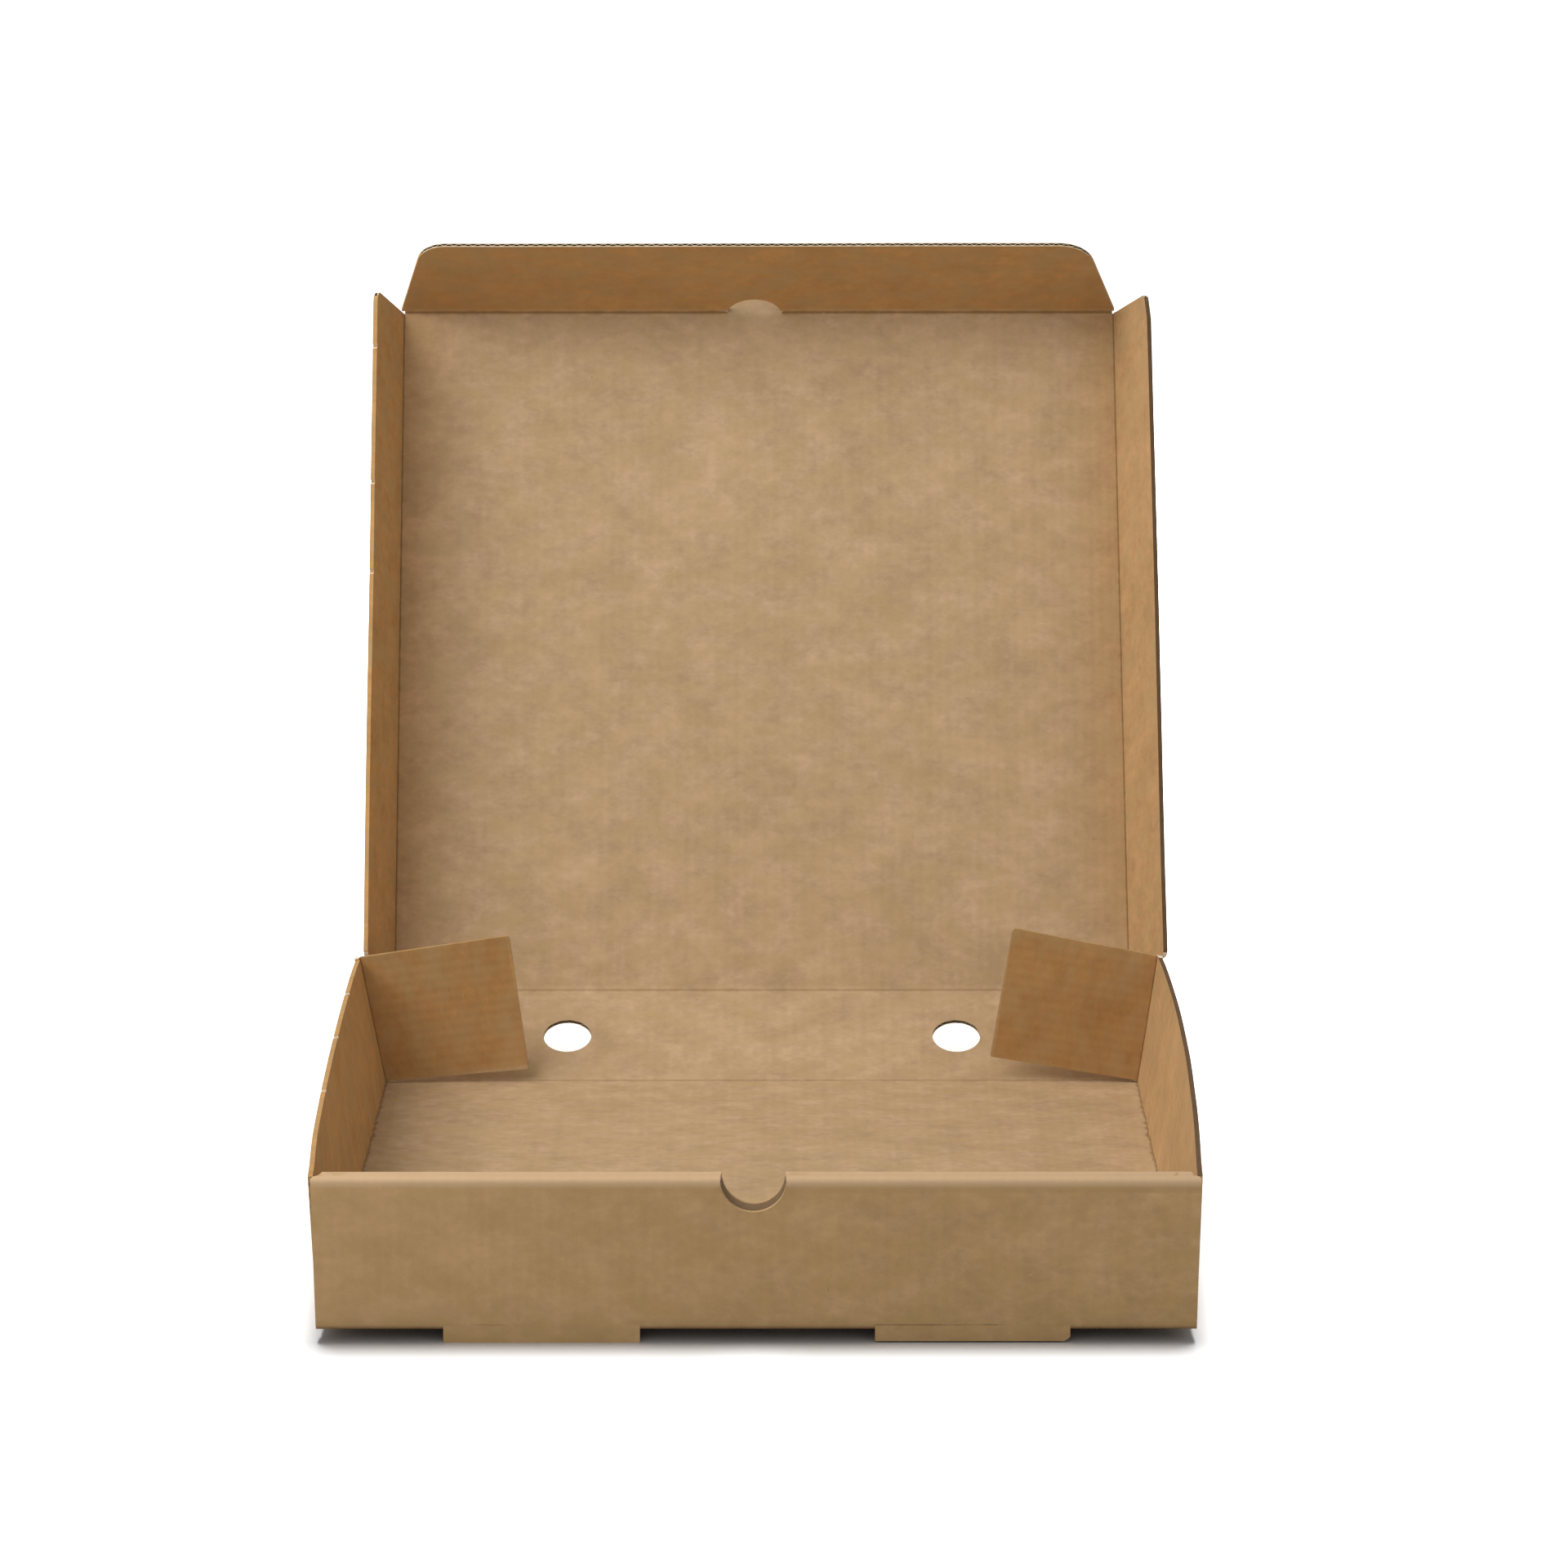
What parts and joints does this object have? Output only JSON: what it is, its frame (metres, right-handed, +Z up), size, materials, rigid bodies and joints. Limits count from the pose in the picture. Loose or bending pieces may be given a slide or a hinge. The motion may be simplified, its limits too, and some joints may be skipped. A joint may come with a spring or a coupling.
{
  "type": "pizza box",
  "caption": "square corrugated kraft board takeaway box, open, with creased back wall, hinged lid, tuck and side flaps, rolled-over front wall with a half-moon thumb notch, and round vents",
  "frame": {"origin": "centre of the underside of the bottom panel", "axes": "+Z up, -Y towards the front wall with the thumb notch, +X to the right seen from the front"},
  "size_m": [0.2673, 0.4113, 0.2713],
  "materials": {
    "board": "uncoated brown kraft liner over a fine flute, matt"
  },
  "bodies": {
    "tray": {"tray": "board"},
    "back_wall": {"back_wall": "board"},
    "lid_panel": {"lid_panel": "board"},
    "tuck_flap": {"tuck_flap": "board"},
    "lid_side_flap_left": {"lid_side_flap_left": "board"},
    "lid_side_flap_right": {"lid_side_flap_right": "board"},
    "dust_flap_left": {"dust_flap_left": "board"},
    "dust_flap_right": {"dust_flap_right": "board"}
  },
  "joints": [
    {"name": "back_wall_hinge", "type": "hinge", "parent": "tray", "child": "back_wall", "pos_m": [0, 0.12675, 0.00075], "axis": [1, 0, 0], "range_deg": [-26.3, 63.7]},
    {"name": "lid_hinge", "type": "hinge", "parent": "back_wall", "child": "lid_panel", "pos_m": [0, 0.16826, 0.02126], "axis": [1, 0, 0], "range_deg": [-36.9, 53.1]},
    {"name": "tuck_flap_hinge", "type": "hinge", "parent": "lid_panel", "child": "tuck_flap", "pos_m": [0, 0.2789, 0.2403], "axis": [1, 0, 0], "range_deg": [-71.5, 18.5]},
    {"name": "lid_side_flap_left_hinge", "type": "hinge", "parent": "lid_panel", "child": "lid_side_flap_left", "pos_m": [-0.12485, 0.16826, 0.02126], "axis": [0, 0.4509, 0.8926], "range_deg": [-80, 10]},
    {"name": "lid_side_flap_right_hinge", "type": "hinge", "parent": "lid_panel", "child": "lid_side_flap_right", "pos_m": [0.12485, 0.16826, 0.02126], "axis": [0, -0.4509, -0.8926], "range_deg": [-75.5, 14.5]},
    {"name": "dust_flap_left_hinge", "type": "hinge", "parent": "tray", "child": "dust_flap_left", "pos_m": [-0.12576, 0.1241, 0.0015], "axis": [-0.0369, 0, 0.9993], "range_deg": [-88, 0]},
    {"name": "dust_flap_right_hinge", "type": "hinge", "parent": "tray", "child": "dust_flap_right", "pos_m": [0.12576, 0.1241, 0.0015], "axis": [-0.0369, 0, -0.9993], "range_deg": [-88, 0]}
  ],
  "couplings": [
    {"joint": "lid_side_flap_left_hinge", "follows": "back_wall_hinge", "ratio": 0.15699},
    {"joint": "lid_side_flap_right_hinge", "follows": "back_wall_hinge", "ratio": 0.22763}
  ]
}
